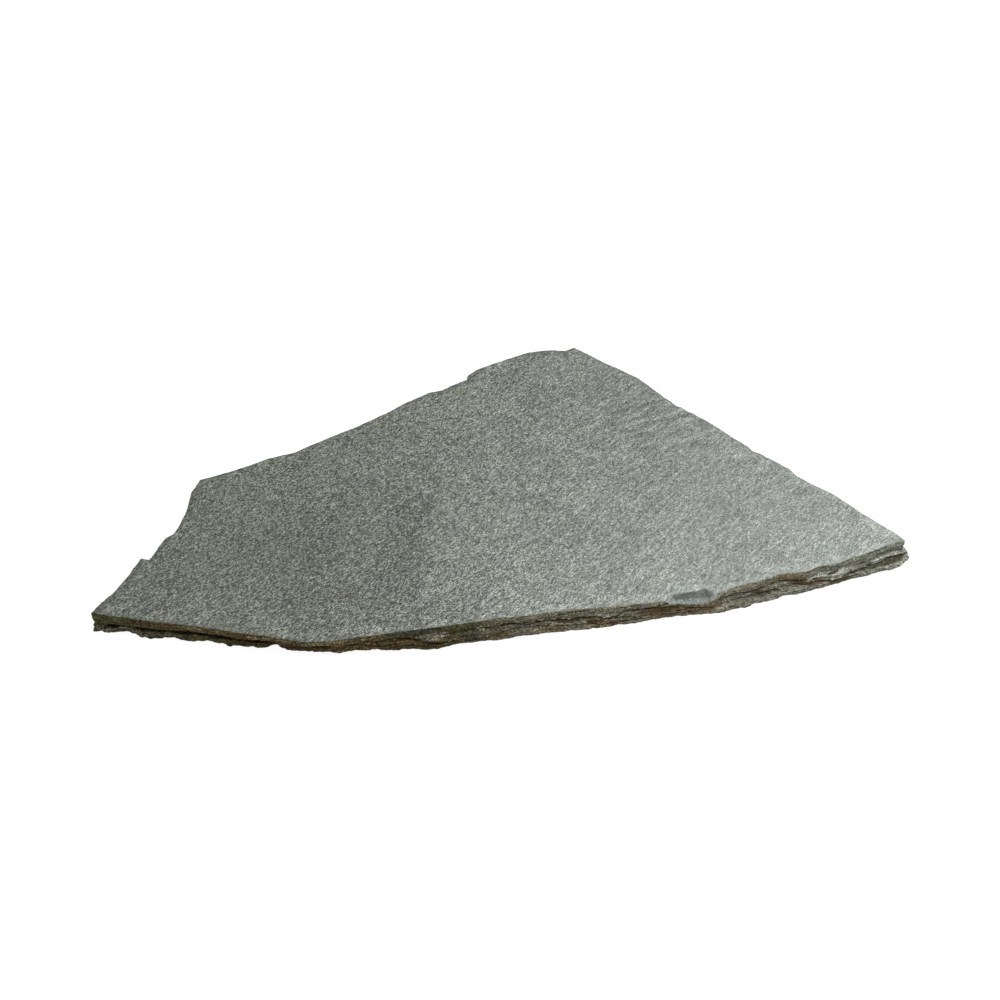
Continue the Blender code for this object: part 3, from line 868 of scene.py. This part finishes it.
# the broken edge: a span is where a change starts and ends, along x in metres where its name ends in Along
brokenSetup = {
    "wander": 0.12,
    "greyAlong": (-0.08, 0.03),
    "rightAlong": (0.25, 0.31),
    "lightAlong": (-0.13, 0.30),
    "paleAlong": (-0.08, 0.12),
    "creviceAlong": (-0.05, 0.20),
    "gloomAlong": (-0.386, -0.366),
    "ledgeShade": 0.35,
    "raggedPatches": 1.1,
    "raggedGrain": 0.6,
    "stainSpan": (0.25, 0.8),
    "brownSpan": (0.1, 0.8),
    "brownPatches": 1.2,
    "brownLevel": 0.58,
    "treadSpan": (0.15, 0.8),
    "treadGrain": 0.4,
    "ridgeSpan": (0.10, 0.5),
    "ridgeGain": 0.35,
    "fineDark": 1.2,
    "deepDark": 0.5,
    "darkSpan": (0.2, 1.1),
    "splitSpan": (0.08, 0.55),
    "patchSpan": (0.35, 0.65),
    "recessShade": 0.35,
    "gloomPatches": 0.45,
    "grainLeft": 10.5,
    "grainDrop": 3.5,
    "blotchGain": 2.6,
    "beddingGain": 1.5,
    "brightest": 3.0,
}

stoneFinish = {
    "scarGrain": 5.0,
    "scarPatches": 1.2,
    "rivenBump": 0.5,                 # height of the split face's grain beside the edge's
    "bump": 0.6,
    "bumpHeight": 0.0006,
    "roughness": 0.7,
    "specular": 0.08,
}


# 1 in the middle of an oval and 0 outside it; ragged frays its border
def ovalMark(place, at, size, turn, ragged=None, fray=1.6, border=(0.45, 1.15)):
    local = place.node("ShaderNodeVectorMath", {"operation": "SUBTRACT"}, {0: place, 1: at})
    local = mapped(local, size, -turn)
    far = place.node("ShaderNodeVectorMath", {"operation": "LENGTH"}, {0: local}, "Value")
    if ragged is not None:
        far = far + (ragged - 0.5) * fray
    return 1.0 - far.step(*border)


# fields of the mesh that the colours follow
fieldNames = (
    "brokenShare", "underShare", "fineDip", "deepDip", "inward",
    "ledge", "tread", "recess", "split", "scar",
    "brownStain", "goldStain", "dirtStain", "paleStain", "shadeStain",
)


# all that the colours of the stone are worked out from: the place, the noise patterns and the mesh's fields
def stoneStrands(tree):
    start = Strand(tree)
    place = start.node("ShaderNodeTexCoord", output="Object")
    stone = {"place": place}
    for name, axis in (("x", "X"), ("y", "Y")):
        stone[name] = place.node("ShaderNodeSeparateXYZ", {}, {0: place}, axis)
    for name, pattern in stonePatterns.items():
        stone[name] = noiseField(place, **pattern)
    for name in fieldNames:
        stone[name] = start.node("ShaderNodeAttribute", {"attribute_name": name}, output="Fac")
    return stone


# tone of the split face in doublings: grain, crystals, streaks, ripples, fold and marks
def rivenSpeck(stone, setup):
    crystals = stone["place"].node(
        "ShaderNodeTexVoronoi",
        {"feature": "F1"},
        {"Vector": mapped(stone["place"], **crystalPattern), "Scale": 1.0},
        "Color",
    )
    crystal = stone["place"].node("ShaderNodeSeparateColor", {}, {0: crystals})
    inward = stone["inward"].step(*setup["rimFade"])
    atRim, inside = setup["rimContrast"]
    toRight = stone["x"].step(*setup["contrastSpan"])
    contrast = (setup["contrastLeft"] - toRight * setup["contrastDrop"]) * (inward * inside + atRim)
    atFront, behind = setup["depthContrast"]
    contrast = contrast * (atFront + stone["y"].step(*setup["depthSpan"]) * behind)
    speck = (stone["grain"] - 0.5) * setup["grainGain"] + (crystal - 0.5) * setup["crystalGain"]
    speck = speck * contrast
    speck = speck + speck * speck * (setup["skewLeft"] - toRight * setup["skewDrop"])
    speck = speck + (1.0 - inward) * setup["rimGain"]
    streaks = (stone["streaks"] - 0.5) * setup["streakGain"]
    speck = speck + streaks + (stone["mottle"] - 0.5) * setup["mottleGain"]

    marks = rippleMarks
    ripples = noiseField(stone["place"], marks["size"], -marks["turn"], marks["shift"], detail=1.0)
    rippled = ovalMark(stone["place"], marks["at"], marks["spread"], marks["turn"])
    speck = speck + (ripples.step(*marks["span"]) - 0.5) * rippled * marks["strength"]

    # painted shade: darker to the left of the fold, as if the face there tilts away from the light
    fold = foldShadeMark
    fade = fold["fade"]
    foldPlace = stone["x"] + (stone["mottle"] - 0.5) * fold["wander"] * 2.0
    foldStep = foldPlace.step(fold["at"] - fold["width"] / 2, fold["at"] + fold["width"] / 2)
    foldRun = stone["y"].step(fold["low"] - fade, fold["low"] + fade)
    foldRun = foldRun * (1.0 - stone["y"].step(fold["high"] - fade, fold["high"] + fade))
    aside = stone["x"] - fold["at"]
    nearFold = 1.0 - (aside * aside).step(fold["reach"][0] ** 2, fold["reach"][1] ** 2)
    speck = speck + (foldStep - 0.5) * foldRun * nearFold * (2.0 * fold["strength"])

    for mark in splitMarks:
        at = (*mark["at"], markLevel)
        size = (*mark["size"], markDepth)
        shape = ovalMark(stone["place"], at, size, math.radians(mark["turn"]), stone["grain"])
        speck = speck + shape * mark["gain"]
    return speck


def rivenColor(stone, colors, setup):
    speck = (2.0 ** rivenSpeck(stone, setup)).atMost(setup["brightest"])
    # partly painted light: the split face is made lighter towards the right, on top of the stone's own tone
    base = stone["x"].step(*setup["toneSpan"]).blend(colors["left"], colors["right"])
    tint = stone["tint"].step(*setup["tintSpan"]).blend(colors["warm"], colors["cool"])
    riven = timesColor(timesColor(base, tint), greyOf(speck))
    worn = (stone["deepDip"] * -1.0).step(*setup["wornSpan"]) * (1.0 - stone["brokenShare"])
    riven = timesColor(riven, greyOf(1.0 + worn * setup["wornGain"]))
    return timesColor(riven, stone["underShare"].blend(white, colors["under"]))


def edgeColor(stone, colors, setup):
    grain = stone["edgeGrain"] - 0.5
    along = stone["x"] + (stone["wander"] - 0.5) * setup["wander"]
    toRight = along.step(*setup["lightAlong"])
    edge = along.step(*setup["greyAlong"]).blend(colors["edgeOlive"], colors["edgeGrey"])
    edge = along.step(*setup["rightAlong"]).blend(edge, colors["edgeRight"])
    edge = timesColor(edge, greyOf(1.0 - stone["ledge"] * setup["ledgeShade"]))

    # stains, then the tread painted pale as if lit from above, then the places of painted shade
    brown = toRight.blend(colors["brownLeft"], colors["brownRight"])
    brownShare = stone["brownStain"] + (stone["patches"] - setup["brownLevel"]) * setup["brownPatches"]
    edge = brownShare.step(*setup["brownSpan"]).blend(edge, brown)
    ragged = (stone["patches"] - 0.5) * setup["raggedPatches"] + grain * setup["raggedGrain"]

    def stained(under, name, color):
        return (stone[name + "Stain"] + ragged).step(*setup["stainSpan"]).blend(under, color)

    pale = along.step(*setup["paleAlong"]).blend(colors["paleLeft"], colors["paleRight"])
    for name, color in (("gold", colors["gold"]), ("dirt", colors["dirt"]), ("pale", pale)):
        edge = stained(edge, name, color)
    tread = (stone["tread"] + grain * setup["treadGrain"]).step(*setup["treadSpan"])
    edge = stained(tread.blend(edge, colors["tread"]), "shade", colors["shade"])
    ridge = (stone["fineDip"] * -1.0).step(*setup["ridgeSpan"]) * setup["ridgeGain"]
    edge = timesColor(edge, greyOf(1.0 + ridge))

    # crevices: grime and painted shade in the dips and open cracks, and painted shade in the recesses and
    # under overhangs
    dark = stone["fineDip"] * setup["fineDark"] + stone["deepDip"] * setup["deepDark"]
    dark = dark.step(*setup["darkSpan"])
    # painted shade, patchy, in the recesses and under overhangs
    recessShade = setup["recessShade"] + stone["patches"].step(*setup["patchSpan"]) * setup["gloomPatches"]
    recessShade = stone["recess"] * recessShade * stone["x"].step(*setup["gloomAlong"])
    dark = dark.atLeast(stone["split"].step(*setup["splitSpan"])).atLeast(recessShade)
    crevice = along.step(*setup["creviceAlong"]).blend(colors["creviceLeft"], colors["creviceRight"])
    edge = dark.blend(edge, crevice)

    # the edge's own grain
    speckle = grain * (setup["grainLeft"] - toRight * setup["grainDrop"])
    speckle = speckle + (stone["blotch"] - 0.5) * setup["blotchGain"]
    speckle = speckle + (stone["bedding"] - 0.5) * setup["beddingGain"]
    return timesColor(edge, greyOf((2.0 ** speckle).atMost(setup["brightest"])))


def stoneMaterial(colors, finish):
    material = bpy.data.materials.new("splitSlate")
    material.use_nodes = True
    tree = material.node_tree
    shader = tree.nodes["Principled BSDF"]
    stone = stoneStrands(tree)
    broken = stone["brokenShare"]
    color = broken.blend(rivenColor(stone, colors, rivenSetup), edgeColor(stone, colors, brokenSetup))
    scarSpeck = (stone["grain"] - 0.5) * finish["scarGrain"]
    scarSpeck = scarSpeck + (stone["patches"] - 0.5) * finish["scarPatches"]
    color = stone["scar"].blend(color, timesColor(colors["scar"], greyOf(2.0 ** scarSpeck)))
    tree.links.new(color.socket, shader.inputs["Base Color"])
    height = stone["grain"] * (1.0 - broken) * finish["rivenBump"] + stone["edgeGrain"] * broken
    bump = Strand(tree).node(
        "ShaderNodeBump",
        {},
        {"Height": height, "Strength": finish["bump"], "Distance": finish["bumpHeight"]},
    )
    tree.links.new(bump.socket, shader.inputs["Normal"])
    shader.inputs["Roughness"].default_value = finish["roughness"]
    shader.inputs["Specular IOR Level"].default_value = finish["specular"]
    return material


slab, slabRing = makeSlab(slabSetup)
markSurface(slab, slabRing, markSetup)
print("surface marked for its colours")
slab.data.materials.append(stoneMaterial(stoneColors, stoneFinish))
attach(slab, "root")
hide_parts("slate_slab")
print("slab made")
